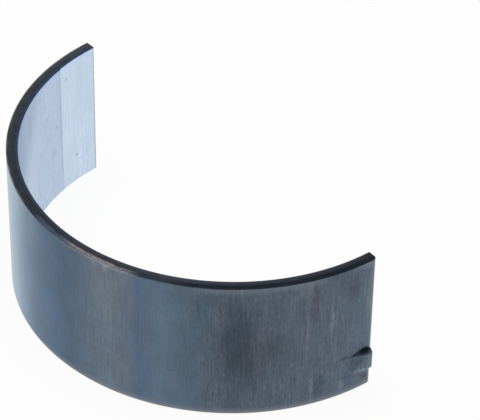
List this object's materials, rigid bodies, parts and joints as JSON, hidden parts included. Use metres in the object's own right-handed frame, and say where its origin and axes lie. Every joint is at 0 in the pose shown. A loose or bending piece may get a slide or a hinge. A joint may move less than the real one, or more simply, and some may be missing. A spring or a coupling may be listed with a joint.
{
  "type": "engine bearing shell",
  "caption": "Half shell of a split plain bearing for a connecting rod's big end: thin steel half ring, lined bore with relieved ends, and a pressed locating tang.",
  "frame": {"origin": "on the journal's axis, halfway along the bearing", "axes": "+Z along the journal's axis, away from the side face nearest the tang; -Y towards the crown; +X towards the joint face that has the tang"},
  "size_m": [0.0587, 0.0281, 0.0206],
  "materials": {
    "steel_back": "satin bare steel with fine grain along the bearing, and a paler silver lining in the bore"
  },
  "bodies": {
    "root": {"bearing_shell": "steel_back"}
  },
  "joints": []
}
